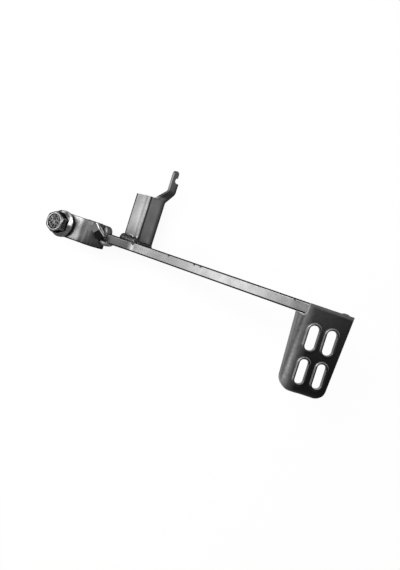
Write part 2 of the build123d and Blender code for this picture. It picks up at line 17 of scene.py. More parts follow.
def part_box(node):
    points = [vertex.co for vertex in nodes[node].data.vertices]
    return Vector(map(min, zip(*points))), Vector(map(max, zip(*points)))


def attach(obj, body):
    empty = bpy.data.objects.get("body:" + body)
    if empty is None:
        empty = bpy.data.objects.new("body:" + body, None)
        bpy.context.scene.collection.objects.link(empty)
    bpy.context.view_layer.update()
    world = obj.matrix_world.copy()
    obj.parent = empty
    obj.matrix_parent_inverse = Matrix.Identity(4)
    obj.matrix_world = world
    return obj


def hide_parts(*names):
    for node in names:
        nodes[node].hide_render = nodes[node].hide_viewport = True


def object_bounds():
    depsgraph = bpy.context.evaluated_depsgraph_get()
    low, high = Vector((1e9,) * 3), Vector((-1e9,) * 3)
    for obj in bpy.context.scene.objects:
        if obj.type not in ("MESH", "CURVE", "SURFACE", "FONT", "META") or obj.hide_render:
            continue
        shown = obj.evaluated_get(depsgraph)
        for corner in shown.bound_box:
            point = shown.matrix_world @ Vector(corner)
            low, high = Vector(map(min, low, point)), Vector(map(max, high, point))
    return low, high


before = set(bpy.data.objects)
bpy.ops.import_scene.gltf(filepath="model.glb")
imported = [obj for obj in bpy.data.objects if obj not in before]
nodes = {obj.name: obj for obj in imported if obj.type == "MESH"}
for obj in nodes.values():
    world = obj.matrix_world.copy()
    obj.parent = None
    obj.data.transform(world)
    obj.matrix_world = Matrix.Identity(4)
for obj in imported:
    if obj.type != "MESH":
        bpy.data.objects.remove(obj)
CAD_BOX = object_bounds()
print("nodes:", ", ".join(sorted(nodes)))

# %% [markdown]
# ## The camera
#
# The photograph looks down on the pedal from about half a metre, almost square to the pad, with the
# pedal turned in the picture. A camera can be placed by eye, by a look-at target or by numbers fitted
# to known corners. Fitting is the sure way here: these numbers put the pedal's outline within about a
# pixel of where the picture has it.

# %% Camera
PICTURE_HEIGHT = 570    # pixels
FOCAL_PIXELS = 471.41
EYE_MM = (102.00, 10.87, 495.01)
TILT_DEGREES = (-2.977, -2.484, -0.127)  # about X, then Y, then Z
ROLL_DEGREES = 18.86    # the pedal's turn in the picture
SENSOR_MM = 36.0

turn = Matrix.Rotation(radians(TILT_DEGREES[2]), 4, "Z")
turn @= Matrix.Rotation(radians(TILT_DEGREES[1]), 4, "Y")
turn @= Matrix.Rotation(radians(TILT_DEGREES[0]), 4, "X")
turn @= Matrix.Rotation(radians(ROLL_DEGREES), 4, "Z")
camera = bpy.data.objects.new("camera", bpy.data.cameras.new("camera"))
bpy.context.scene.collection.objects.link(camera)
camera.data.sensor_fit = "VERTICAL"
camera.data.sensor_height = SENSOR_MM
camera.data.lens = SENSOR_MM * FOCAL_PIXELS / PICTURE_HEIGHT
camera.matrix_world = Matrix.Translation(Vector(EYE_MM) / 1000) @ turn
bpy.context.scene.camera = camera
print("lens %.2f mm" % camera.data.lens)

# %% [markdown]
# ## Colours and nodes
#
# Colours are written as sRGB hex, as a paint chart gives them, and one function turns them to the
# linear values that the renderer works in. A second small function adds one node with its settings
# and links, so that each material below reads as a list of what it is made of.

# %% Helpers for colours and nodes
MM = 0.001
TIMES = {"operation": "MULTIPLY"}      # settings that many nodes share
BLEND = {"data_type": "RGBA"}


def colour(hex_text):
    """An sRGB hex colour as linear RGBA."""
    parts = [int(hex_text[i:i + 2], 16) / 255 for i in (1, 3, 5)]
    return [c / 12.92 if c <= 0.04045 else ((c + 0.055) / 1.055) ** 2.4 for c in parts] + [1.0]


def add(tree, kind, settings=None, **links):
    """Add one node. Settings are its properties; links name inputs, or i0, i1 ... by place."""
    node = tree.nodes.new(kind)
    for key, value in (settings or {}).items():
        setattr(node, key, value)
    for key, value in links.items():
        by_place = key[0] == "i" and key[1:].isdigit()
        socket = node.inputs[int(key[1:]) if by_place else key.replace("_", " ")]
        if isinstance(value, bpy.types.NodeSocket):
            tree.links.new(value, socket)
        else:
            socket.default_value = value
    return node


print("mid grey #808080 is %.3f in linear light" % colour("#808080")[0])

# %% [markdown]
# ## What the metal finishes share
#
# Rolling, tumbling and handling leave soft patches up to a centimetre or so wide, and a fine grain that
# scatters the highlights. Both could be painted into an image, but noise in object coordinates needs
# no file and takes its sizes in millimetres. Steel with an oxide film also stays dark where it turns
# away, and the shader's edge tint gives that.

# %% Helpers for patches, grain and the metal itself
EDGE_TINT = (0.15, 0.15, 0.15, 1.0)
NOISE_SPAN = (0.3, 0.7)        # nearly all of the noise lies between these
FINISH = {}                    # each CAD node's material, for the pieces that replace the node


def per_mm(size):
    """Texture scale for a pattern whose cells are this many millimetres across."""
    return 1 / (size * MM)


def new_material(name):
    material = bpy.data.materials.new(name)
    material.use_nodes = True
    material.node_tree.nodes.clear()
    return material, material.node_tree


def patches(tree, place, size, low, high):
    """Soft noise in millimetre-sized patches, from low to high."""
    noise = add(tree, "ShaderNodeTexNoise", Vector=place, Scale=per_mm(size), Detail=3.0)
    return add(tree, "ShaderNodeMapRange", Value=noise.outputs[0], From_Min=NOISE_SPAN[0],
               From_Max=NOISE_SPAN[1], To_Min=low, To_Max=high).outputs[0]


def mottled(tree, place, size, first, second, low=0, high=1):
    """Two tones in soft patches. A low below 0 or a high above 1 makes them harder."""
    return add(tree, "ShaderNodeMix", BLEND, i0=patches(tree, place, size, low, high),
               i6=colour(first), i7=colour(second)).outputs[2]


def grain(tree, place, size, depth):
    """Fine bumps of a size and depth in millimetres."""
    noise = add(tree, "ShaderNodeTexNoise", Vector=place, Scale=per_mm(size), Detail=2.0)
    return add(tree, "ShaderNodeBump", Strength=1.0, Distance=depth * MM, Height=noise.outputs[0]).outputs[0]


def end_metal(tree, base, roughness, bumps):
    """The last two nodes of every bare metal."""
    shader = add(tree, "ShaderNodeBsdfPrincipled", Base_Color=base, Metallic=1.0, Roughness=roughness,
                 Specular_Tint=EDGE_TINT, Normal=bumps)
    add(tree, "ShaderNodeOutputMaterial", Surface=shader.outputs[0])


def dress(material, *names):
    """Give CAD nodes their finish."""
    for name in names:
        nodes[name].data.materials.clear()
        nodes[name].data.materials.append(material)
        FINISH[name] = material
    print("%s, %d nodes: %s" % (material.name, len(material.node_tree.nodes), ", ".join(names)))


print("patches 5 mm wide are noise at scale %d" % per_mm(5))

# %% [markdown]
# ## Masks by place and by side
#
# Finishes wear off where something rubs, and painted shade and highlights sit at fixed places too, so
# each needs a mask that knows its place on the part. A mask drawn in an image would need an unwrapped
# mesh. Three rules do without: one mask grows as the surface turns towards a direction, one along an
# object axis, and one along any direction from a point. Each runs from 0 to its strength, and a start
# larger than its full place turns it round. Where masks meet, the largest counts.

# %% Three kinds of mask
EASED = {"interpolation_type": "SMOOTHSTEP"}
AXES = {"X": (1, 0, 0), "Y": (0, 1, 0)}


def facing(tree, direction, start, full, strength=1.0):
    """Grows as the surface turns from one cosine to another against a direction."""
    normal = add(tree, "ShaderNodeTexCoord").outputs["Normal"]
    against = add(tree, "ShaderNodeVectorMath", {"operation": "DOT_PRODUCT"}, i0=normal, i1=direction)
    return add(tree, "ShaderNodeMapRange", EASED, To_Max=strength,
               Value=against.outputs["Value"], From_Min=start, From_Max=full).outputs[0]


def along(tree, place, origin, direction, start, full, strength=1.0):
    """Grows between two distances in millimetres from an origin, along a direction."""
    moved = add(tree, "ShaderNodeVectorMath", {"operation": "SUBTRACT"}, i0=place, i1=Vector(origin) * MM)
    run = add(tree, "ShaderNodeVectorMath", {"operation": "DOT_PRODUCT"}, i0=moved.outputs[0], i1=direction)
    return add(tree, "ShaderNodeMapRange", EASED, To_Max=strength,
               Value=run.outputs["Value"], From_Min=start * MM, From_Max=full * MM).outputs[0]


def band(tree, place, axis, start, full, strength=1.0):
    """Grows along one object axis, between two places in millimetres."""
    return along(tree, place, (0, 0, 0), AXES[axis], start, full, strength)


def strongest(tree, masks):
    """The largest of several masks, because two kinds of wear or of painted shade don't add up."""
    most = 0.0
    for mask in masks:
        most = add(tree, "ShaderNodeMath", {"operation": "MAXIMUM"}, i0=most, i1=mask).outputs[0]
    return most


print("masks take cosines (facing) or millimetres (band, along)")

# %% [markdown]
# ## Tumbled steel
#
# The arm is hot-rolled flat bar, the hub is wrapped strap and the bracket is folded sheet, all tumbled
# after cutting. A flat that something rubs on is worn to a dull grey. Cut sides, rolled edges and faces
# that turn from the lamps are darkened as painted shade, in a black like the scale in the pits, which
# the eye reads as a dark outline. Separate materials would drift apart, so one recipe serves them all:
# a rubbed tone, and layers of other tones, each with masks that say where the part takes it.

# %% Recipe for tumbled steel
# The black of real pits, and of the painted shade on the arm.
SCALE_AND_SHADE_BLACK = "#222222"
PIT_SPACING_MM = 9.0
PIT_SHARE = 0.035              # a pit's radius, as a share of the spacing
GRAIN_MM = 0.8                 # coarser than real tumbling marks, so that it shows
GRAIN_DEPTH_MM = 0.012
CLOUDS = (0.86, 1.12)          # the soft patches, as shares of the tone


def steel(name, rubbed, layers, roughness=(0.3, 0.4), patch=14):
    """Rubbed steel with pits, under layers of (function that lists masks, tone)."""
    material, tree = new_material(name)
    place = add(tree, "ShaderNodeTexCoord").outputs["Object"]
    cells = add(tree, "ShaderNodeTexVoronoi", Vector=place, Scale=per_mm(PIT_SPACING_MM))
    pits = add(tree, "ShaderNodeMapRange", Value=cells.outputs["Distance"], From_Min=2 * PIT_SHARE,
               From_Max=PIT_SHARE)
    base = add(tree, "ShaderNodeMix", BLEND, i0=pits.outputs[0], i6=colour(rubbed),
               i7=colour(SCALE_AND_SHADE_BLACK)).outputs[2]
    for masks, tone in layers:
        base = add(tree, "ShaderNodeMix", BLEND, i0=strongest(tree, masks(tree, place)),
                   i6=base, i7=colour(tone)).outputs[2]
    base = add(tree, "ShaderNodeVectorMath", {"operation": "SCALE"}, i0=base,
               Scale=patches(tree, place, patch, *CLOUDS)).outputs[0]
    end_metal(tree, base, patches(tree, place, 5, *roughness), grain(tree, place, GRAIN_MM, GRAIN_DEPTH_MM))
    return material


print("pits of %.1f mm, %.0f mm apart" % (2 * PIT_SHARE * PIT_SPACING_MM, PIT_SPACING_MM))

# %% [markdown]
# ## The arm
#
# The camera sees the arm's rubbed edge as a long grey strip between two dark lines. The lines are
# painted shade on the sides of the bar and on its rounded lower edge. Painted shade also darkens its
# faces that are not square to the slope, the arm next to the bracket, and its end by the pad. Handling
# nicked the other edge: the nicks are a pattern in one dimension, along the bar, and each takes its
# depth from its own cell, so that they don't look ruled.

# %% Finish of the arm
# Painted shade: these masks darken the bar's sides, its faces not square to the slope, its rounded lower
# edge, and bands next to the bracket and the pad.
ARM_SLOPE = radians(28.0)
ARM_SIDES = (((0, -1, 0), 0.03, 0.15), ((0, 1, 0), 0.25, 0.5))   # direction, start and full cosine
ARM_LEVEL = ((-sin(ARM_SLOPE), 0, cos(ARM_SLOPE)), 0.985, 0.91, 0.65)   # what isn't square to the slope
ARM_LOWER_EDGE_SHADE = ("Y", -3.5, -4.0, 0.9)      # axis, start, full, strength
ARM_SHADE_BY_PAD = (("X", 172, 184, 0.2), ("X", 192, 204, 0.45))
ARM_SHADE_BY_BRACKET = (("X", 52, 72), ("X", 140, 85, 0.33))
NICK_SPACING_MM = 29.0
NICK_SHARE = (0.05, 0.02)      # half its width where it starts and is full, as a share of the spacing
NICK_DRAW = (0.35, 0.6)        # draws that give no nick, and a whole one
NICK_EDGE = ("Y", 2.7, 3.6)


def arm_nicks(tree, place):
    run = add(tree, "ShaderNodeSeparateXYZ", Vector=place).outputs["X"]
    cells = add(tree, "ShaderNodeTexVoronoi", {"voronoi_dimensions": "1D"}, W=run,
                Scale=per_mm(NICK_SPACING_MM))
    nick = add(tree, "ShaderNodeMapRange", Value=cells.outputs["Distance"], From_Min=NICK_SHARE[0],
               From_Max=NICK_SHARE[1])
    depth = add(tree, "ShaderNodeMapRange", Value=cells.outputs["Color"], From_Min=NICK_DRAW[0],
                From_Max=NICK_DRAW[1])
    nick = add(tree, "ShaderNodeMath", TIMES, i0=nick.outputs[0], i1=depth.outputs[0])
    edge = band(tree, place, *NICK_EDGE)
    return add(tree, "ShaderNodeMath", TIMES, i0=nick.outputs[0], i1=edge).outputs[0]


# Painted shade from every mask here but the last, which draws the real nicks.
def arm_shade_and_nicks(tree, place):
    start, fade = (band(tree, place, *shaded_band) for shaded_band in ARM_SHADE_BY_BRACKET)
    near_bracket = add(tree, "ShaderNodeMath", TIMES, i0=start, i1=fade).outputs[0]
    return ([facing(tree, *side) for side in (*ARM_SIDES, ARM_LEVEL)]
            + [band(tree, place, *shaded_band) for shaded_band in (*ARM_SHADE_BY_PAD, ARM_LOWER_EDGE_SHADE)]
            + [near_bracket, arm_nicks(tree, place)])


dress(steel("tumbled_bar_steel", "#707070", [(arm_shade_and_nicks, SCALE_AND_SHADE_BLACK)], (0.26, 0.34)), "arm_bar")

# %% [markdown]
# ## The hub
#
# The strap is wrapped round the pivot and pinched by the bolt. Its seat under the washer keeps the pale
# base tone, while the crown and the sawn ends are darkened as painted shade, and the end that faces away
# from the bracket is painted black, also round its rolled edge, as a dark outline below the hub. One
# mask can't hold two tones, so that black is a layer of its own.

# %% Finish of the hub
# Painted shade: the hub's two ends and its crown.
HUB_ENDS = (((0, -1, 0), 0.1, 0.3), ((0, 1, 0), 0.3, 0.7))
HUB_CROWN = ("X", -13, -8, 0.92)
HUB_BLACK_END = ((0, -1, 0), 0.03, 0.15)
HUB_BLACK_EDGE = ("Y", -10.9, -11.5)


def hub_painted_shade(tree, place):
    return [facing(tree, *end) for end in HUB_ENDS] + [band(tree, place, *HUB_CROWN)]


# Painted shade: the end that faces away from the bracket, and its rolled edge, in near black.
def hub_roll(tree, place):
    return [facing(tree, *HUB_BLACK_END), band(tree, place, *HUB_BLACK_EDGE)]


dress(steel("tumbled_strap_steel", "#8f8f8f", [(hub_painted_shade, "#353535"), (hub_roll, "#0c0c0c")], patch=11),
      "hub_clamp")

# %% [markdown]
# ## The bracket
#
# The bracket is 3 mm sheet, folded along a ridge that points up. Its leg on the hub's side keeps the
# pale rubbed tone, with a thin line of painted shade along its sheared edge, up to a dark line of painted
# shade over the fold. The other leg is darkened as painted shade, more towards its sheared edge, and the
# stepped tab is painted dark as shade, less so on its lip. Masks by the way a surface faces would bleed
# over the fold, where the normals are blended, so the fold's are measured across the ridge. The sheet
# is duller than the bar, so its highlight is wide and soft.

# %% Finish of the bracket
RIDGE_MM = Vector((47.1, 0, 8.4))
SLOPE = sqrt(0.5)
LEAN = radians(0.8)            # the bracket's lean from square to the arm
ACROSS = (cos(LEAN), sin(LEAN), 0)
# Painted shade: a dark line over the fold, the leg towards the pad, both sheared edges and the tab.
FOLD_RISES = ((-6, -3.5, 0.5), (-1.2, 0.6))    # start, full and strength, across the ridge
FOLD_FADES = (2.6, 1.6)
HUB_EDGE = ((-SLOPE, 0, -SLOPE), 21.4, 22.6)   # down the leg from the ridge
PAD_EDGE = ((SLOPE, 0, -SLOPE), 9.0, 21.0)
PAD_LEG = ((1, 0, 0), 0.1, 0.5, 0.42)
TAB = ("Y", 55, 60, 0.92)
TAB_LIP = ("Y", 66, 69, 0.22)


def sheet_painted_shade(tree, place):
    pale, dark = (along(tree, place, RIDGE_MM, ACROSS, *rise) for rise in FOLD_RISES)
    rise = add(tree, "ShaderNodeMath", {"operation": "MAXIMUM"}, i0=pale, i1=dark)
    fold = add(tree, "ShaderNodeMath", TIMES, i0=rise.outputs[0],
               i1=along(tree, place, RIDGE_MM, ACROSS, *FOLD_FADES)).outputs[0]
    tab = add(tree, "ShaderNodeMath", {"operation": "SUBTRACT"}, i0=band(tree, place, *TAB),
              i1=band(tree, place, *TAB_LIP)).outputs[0]
    return [fold, tab, facing(tree, *PAD_LEG)] + [
        along(tree, place, RIDGE_MM, *edge) for edge in (HUB_EDGE, PAD_EDGE)]


dress(steel("folded_sheet_steel", "#8a8a8a", [(sheet_painted_shade, "#2d2d2d")], (0.42, 0.5)), "hook_bracket")

# %% [markdown]
# ## The welded nut
#
# The nut on the hub's shoulder lies on its side. One flat is darkened as painted shade, and the last
# millimetre round the mouth carries a painted highlight, a bright ring. The bright mouth is the nut's
# clearest mark, so it is a layer of its own.

# %% Finish of the nut
NUT_CENTRE_MM = (9.0, 4.3)
NUT_TURN = radians(46.5)       # from +X towards +Y
NUT_AXIS = (cos(NUT_TURN), sin(NUT_TURN), 0)
FLAT_TILT = radians(30)
# Painted shade: one flat of the nut.
NUT_DARK_FLAT = ((sin(FLAT_TILT) * sin(NUT_TURN), -sin(FLAT_TILT) * cos(NUT_TURN), cos(FLAT_TILT)),
                 0.9, 0.97)
# Painted highlight: the ring round the mouth.
NUT_MOUTH = (2.9, 3.2)         # millimetres from the nut's middle, along its axis


def nut_painted_shade(tree, place):
    return [facing(tree, *NUT_DARK_FLAT)]


def nut_mouth(tree, place):
    return [along(tree, place, (*NUT_CENTRE_MM, 0), NUT_AXIS, *NUT_MOUTH)]


dress(steel("rubbed_nut_steel", "#414141", [(nut_painted_shade, "#1c1c1c"), (nut_mouth, "#b9b9b9")], patch=11),
      "weld_nut")

# %% [markdown]
# ## Zinc plate on the bolt
#
# The pinch bolt is zinc plated. Oiled and handled plate is a mid grey that only shines where a lamp
# finds it. The head's rim round the dish carries a painted highlight, its dish is dull with dirt, its
# flanks are mottled by spanners, and the flange carries a painted highlight in a crescent. An image of a
# ring would need unwrapping, but the distance from the bolt's axis draws all three rings. The dirt is
# coarser than real dirt, so that it shows.

# %% Rings round the bolt
EAR_TILT = radians(25.0)
BOLT_AXIS = Vector((-sin(EAR_TILT), 0, cos(EAR_TILT)))
BOLT_REACH_MM = 26.2
HEAD_RISE_MM = 12.0
BOLT_CENTRE_MM = Matrix.Rotation(-EAR_TILT, 3, "Y") @ Vector((-BOLT_REACH_MM, 0, HEAD_RISE_MM))
# Painted highlights: the rim round the dish and the crescent on the flange.
TOP_FACE = (0.9, 0.99)         # cosines against the axis
RIM_MM = (8.8, 8.4)            # radii: outside the rim, on it
DISH_MM = (8.0, 7.6)           # outside the dish, in it
CRESCENT_MM = (10.9, 11.3)
CRESCENT_SIDE = ((SLOPE, SLOPE, 0), 8.5, 10.5)


def bolt_rings(tree, place):
    """Masks of the rim's painted highlight, the dirty dish and the painted highlight in a crescent on the
    flange.
    """
    moved = add(tree, "ShaderNodeVectorMath", {"operation": "SUBTRACT"}, i0=place, i1=BOLT_CENTRE_MM * MM)
    across = add(tree, "ShaderNodeVectorMath", {"operation": "CROSS_PRODUCT"}, i0=moved.outputs[0],
                 i1=BOLT_AXIS)
    metres = add(tree, "ShaderNodeVectorMath", {"operation": "LENGTH"}, i0=across.outputs[0])
    radius = add(tree, "ShaderNodeMath", TIMES, i0=metres.outputs["Value"], i1=1 / MM)
    ring, dish, outer = (
        add(tree, "ShaderNodeMapRange", how, Value=radius.outputs[0], From_Min=start,
            From_Max=full).outputs[0]
        for how, (start, full) in ((None, RIM_MM), (EASED, DISH_MM), (None, CRESCENT_MM)))
    rim = add(tree, "ShaderNodeMath", TIMES, i0=ring, i1=facing(tree, BOLT_AXIS, *TOP_FACE))
    crescent = add(tree, "ShaderNodeMath", TIMES, i0=outer,
                   i1=along(tree, place, BOLT_CENTRE_MM, *CRESCENT_SIDE))
    return rim.outputs[0], dish, crescent.outputs[0]


print("bolt head at %.1f %.1f %.1f mm" % tuple(BOLT_CENTRE_MM))

# %% Finish of the bolt
FLANKS = (0.6, 0.2)            # cosines against the axis
ZINC_GREY = "#646464"


def bolt_plate():
    material, tree = new_material("oiled_zinc_plate_with_dirty_dish")
    place = add(tree, "ShaderNodeTexCoord").outputs["Object"]
    rim, dish, crescent = bolt_rings(tree, place)
    base = mottled(tree, place, 3.0, ZINC_GREY, "#3e3e3e")
    # The rim and the crescent are painted highlights.
    for mask, tone in ((facing(tree, BOLT_AXIS, *FLANKS), mottled(tree, place, 2.2, "#717171", "#393939")),
                       (rim, mottled(tree, place, 5, "#8c8c8c", ZINC_GREY)),
                       (dish, mottled(tree, place, 1.6, "#585858", "#0c0c0c", -0.2, 1.5)),
                       (crescent, colour("#a8a8a8"))):
        base = add(tree, "ShaderNodeMix", BLEND, i0=mask, i6=base, i7=tone).outputs[2]
    roughness = add(tree, "ShaderNodeMapRange", Value=dish, To_Min=0.2, To_Max=0.45).outputs[0]
    end_metal(tree, base, roughness, grain(tree, place, 1.1, 0.02))
    return material


dress(bolt_plate(), "clamp_bolt")

# %% [markdown]
# ## Zinc plate on the washer and the sleeve
#
# The washer has the bolt's plate, and its rim is painted near black as the shadow under the flange,
# which draws the dark ring there. The sleeve turns in its bushes, so its plate is clean and evenly
# bright. It needs no masks, only two tones in faint clouds, and that recipe serves the bushes and the
# welds too.

# %% Finishes of the washer and the sleeve
# Painted shadow: the washer's rim under the flange, near black.
WASHER_RIM = (0.6, 0.1)        # cosines against the bolt's axis


def washer_plate():
    material, tree = new_material("oiled_zinc_plate")
    place = add(tree, "ShaderNodeTexCoord").outputs["Object"]
    base = add(tree, "ShaderNodeMix", BLEND, i0=facing(tree, BOLT_AXIS, *WASHER_RIM),
               i6=colour(ZINC_GREY), i7=colour("#141414")).outputs[2]
    end_metal(tree, base, patches(tree, place, 3, 0.24, 0.34), grain(tree, place, 1.2, 0.01))
    return material


def cloudy_metal(name, light, dark, patch, cloud, roughness, bumps):
    """Metal in two mottled tones. Patch and cloud are its sizes of tone and of gloss patches."""
    material, tree = new_material(name)
    place = add(tree, "ShaderNodeTexCoord").outputs["Object"]
    end_metal(tree, mottled(tree, place, patch, light, dark), patches(tree, place, cloud, *roughness),
              grain(tree, place, *bumps))
    return material


dress(washer_plate(), "bolt_washer")
dress(cloudy_metal("clean_zinc_plate", "#b8b8b8", "#a2a2a2", patch=4, cloud=6, roughness=(0.24, 0.32),
                   bumps=(1.2, 0.006)), "pivot_sleeve")

# %% [markdown]
# ## Bearing bronze and weld metal
#
# Sintered bronze bushes are matt and brown where oil has soaked in. Weld metal cools under a dark grey
# oxide, and only its crests shine, so it has a deeper grain than the steel beside it. Both could be one
# flat tone, but patches keep them alive. The hub's welds were brushed, so they are paler.

# %% Bronze and weld metal
WELD_SKIN = {"patch": 2.5, "cloud": 1.8, "roughness": (0.28, 0.45), "bumps": (0.7, 0.04)}
DARK_WELD = cloudy_metal("dark_weld_oxide", "#494949", "#2b2b2b", **WELD_SKIN)
BRUSHED_WELD = cloudy_metal("brushed_weld_metal", "#727272", "#545454", **WELD_SKIN)
dress(cloudy_metal("oiled_sintered_bronze", "#8d7655", "#65543c", patch=2.2, cloud=4,
                   roughness=(0.38, 0.48), bumps=(0.5, 0.01)),
      "pivot_bush_bracket_side", "pivot_bush_pad_side")
dress(BRUSHED_WELD, "hub_weld_bracket_side", "hub_weld_pad_side", "nut_weld", "pad_welds")
dress(DARK_WELD, "bracket_weld")

# %% [markdown]
# ## Black paint with painted highlights
#
# The foot pad is dipped in satin black paint, which is a dielectric: nearly all it shows is a weak
# reflection. Its sheen and highlights are painted in, as bare steel that shows through the paint. Two
# materials with a border would look cut out. So one material is paint where a mask of painted sheen is 0
# and steel where it is 1, and the mask is built from places on the pad. First a painted sheen on the
# field, stronger towards the arm and the hub and gone towards the far corner, then painted highlights
# across the bend, strongest where it first turns down, and on the lip by the arm.

# %% Painted sheen and highlights of the pad's field and bend
# Painted sheen on the field, a painted highlight on the lip by the arm, and painted highlights across the
# bend.
FIELD_TO_ARM = ("Y", -52, 4)
FIELD_TO_HUB = ("X", 278, 205, 0.095)
ARM_LIP = ("Y", 1.5, 4.5, 0.24)
BEND_HIGHLIGHTS = ((203, 0.19), (208, 0.2), (210, 0.13), (212, 0.42), (214, 0.3), (217, 0.13), (223, 0.0))


def field_sheen(tree, place):
    to_arm, to_hub = (band(tree, place, *fade) for fade in (FIELD_TO_ARM, FIELD_TO_HUB))
    return add(tree, "ShaderNodeMath", TIMES, i0=to_arm, i1=to_hub).outputs[0]


def bend_highlights(tree, place):
    """Painted highlights across the bend, from the listed places and amounts."""
    first, last = BEND_HIGHLIGHTS[0][0], BEND_HIGHLIGHTS[-1][0]
    axes = add(tree, "ShaderNodeSeparateXYZ", Vector=place)
    across = add(tree, "ShaderNodeMapRange", Value=axes.outputs["X"], From_Min=first * MM,
                 From_Max=last * MM)
    ramp = add(tree, "ShaderNodeValToRGB", Fac=across.outputs[0])
    steps = ramp.color_ramp.elements
    while len(steps) < len(BEND_HIGHLIGHTS):
        steps.new(0.5)
    for step, (x, amount) in zip(steps, BEND_HIGHLIGHTS):
        step.position = (x - first) / (last - first)
        step.color = (amount, amount, amount, 1)
    return ramp.outputs["Color"]


print("bend: %d wear steps from X %d to %d mm" % (len(BEND_HIGHLIGHTS), BEND_HIGHLIGHTS[0][0], BEND_HIGHLIGHTS[-1][0]))

# %% [markdown]
# ## The notch's painted highlight
#
# A rounded notch lets the arm pass under the pad, and a bright line along its cut edge is a painted
# highlight. A line drawn in an image would need an unwrapped mesh. The distance from a box that is
# smaller than the notch, by the notch's round, follows the edge by itself. The line ends where the sheet
# turns down.

# %% Painted highlight of the notch
NOTCH_CENTRE_MM = Vector((204.2, 5.25, 100.0))
NOTCH_HALF_MM = Vector((4.4, 7.0, 20.0))
NOTCH_ROUND_MM = 3.2
NOTCH_LINE_MM = (1.4, 0.8)     # from the cut edge: where the line is gone, and where it is full
NOTCH_HIGHLIGHT = 0.85
NOTCH_ABOVE_BEND = ("X", 207.5, 210)


# Painted highlight: a bright line along the notch's cut edge.
def notch_highlight(tree, place):
    gone, full = (NOTCH_ROUND_MM + reach for reach in NOTCH_LINE_MM)
    gap = add(tree, "ShaderNodeVectorMath", {"operation": "SUBTRACT"}, i0=place, i1=NOTCH_CENTRE_MM * MM)
    gap = add(tree, "ShaderNodeVectorMath", {"operation": "ABSOLUTE"}, i0=gap.outputs[0])
    gap = add(tree, "ShaderNodeVectorMath", {"operation": "SUBTRACT"}, i0=gap.outputs[0],
              i1=NOTCH_HALF_MM * MM)
    gap = add(tree, "ShaderNodeVectorMath", {"operation": "MAXIMUM"}, i0=gap.outputs[0], i1=(0, 0, 0))
    gap = add(tree, "ShaderNodeVectorMath", {"operation": "LENGTH"}, i0=gap.outputs[0])
    line = add(tree, "ShaderNodeMapRange", Value=gap.outputs["Value"], From_Min=gone * MM,
               From_Max=full * MM, To_Max=NOTCH_HIGHLIGHT)
    return add(tree, "ShaderNodeMath", TIMES, i0=line.outputs[0],
               i1=band(tree, place, *NOTCH_ABOVE_BEND)).outputs[0]


print("notch line: %.1f mm wide" % NOTCH_LINE_MM[0])

# %% [markdown]
# ## Painted highlights on the slot rims
#
# Four slots are pressed up out of the sheet. A painted highlight runs along the crest of each rim,
# strongest towards the arm, and another lightens the inside of the hole on the side opposite. Masks by
# the way the rim faces come out dashed, because it is made of long thin triangles. So each slot's lines
# are drawn by distance from its edge, in a frame that turns with the slots.

# %% Distance from a slot
SLOT_GROUP_MM = Vector((231.55, -36.7, 0))
SLOT_TWIST = radians(1.7)
SLOT_LENGTH_MM = 21.8
SLOT_COLUMNS_MM = (-7.85, 7.85)
SLOT_ROWS_MM = ((14.9, 4.5), (-14.9, 3.875))   # place of the row, half the slot's width
SLOTS_MM = [(SLOT_GROUP_MM + Matrix.Rotation(SLOT_TWIST, 3, "Z") @ Vector((u, v, 0)), half_width)
            for v, half_width in SLOT_ROWS_MM for u in SLOT_COLUMNS_MM]
TOWARDS_ARM = Vector((-0.2, 0.98, 0))


def slot_distance(tree, place, centre, half_width):
    """Millimetres outside one slot's edge, and 1 to -1 as the rim turns from the arm's side away."""
    moved = add(tree, "ShaderNodeVectorMath", {"operation": "SUBTRACT"}, i0=place, i1=centre * MM)
    turned = add(tree, "ShaderNodeVectorRotate", {"rotation_type": "Z_AXIS"}, Vector=moved.outputs[0],
                 Angle=-SLOT_TWIST)
    local = add(tree, "ShaderNodeVectorMath", {"operation": "SCALE"}, i0=turned.outputs[0], Scale=1 / MM)
    axes = add(tree, "ShaderNodeSeparateXYZ", Vector=local.outputs[0])
    straight = SLOT_LENGTH_MM / 2 - half_width
    middle = add(tree, "ShaderNodeClamp", Value=axes.outputs["Y"], Min=-straight, Max=straight)
    beyond = add(tree, "ShaderNodeMath", {"operation": "SUBTRACT"}, i0=axes.outputs["Y"],
                 i1=middle.outputs[0])
    off = add(tree, "ShaderNodeCombineXYZ", X=axes.outputs["X"], Y=beyond.outputs[0])
    length = add(tree, "ShaderNodeVectorMath", {"operation": "LENGTH"}, i0=off.outputs[0])
    out = add(tree, "ShaderNodeMath", {"operation": "SUBTRACT"}, i0=length.outputs["Value"], i1=half_width)
    unit = add(tree, "ShaderNodeVectorMath", {"operation": "NORMALIZE"}, i0=off.outputs[0])
    side = add(tree, "ShaderNodeVectorMath", {"operation": "DOT_PRODUCT"}, i0=unit.outputs[0],
               i1=TOWARDS_ARM)
    return out.outputs[0], side.outputs["Value"]


print("slots at", ", ".join("%.1f %.1f" % tuple(centre[:2]) for centre, half_width in SLOTS_MM))

# %% Painted highlights of the slot rims
CREST_MM = (1.3, 1.6, 2.1, 2.4)        # outside the hole: the line starts, is full, ends, is gone
CREST_SIDES = (-0.4, 0.8, 0.75)        # cosines towards the arm: it starts, is full; strength
WALL_MM = (0.5, 0.2)
WALL_SIDES = (0.0, -0.4, 0.45)


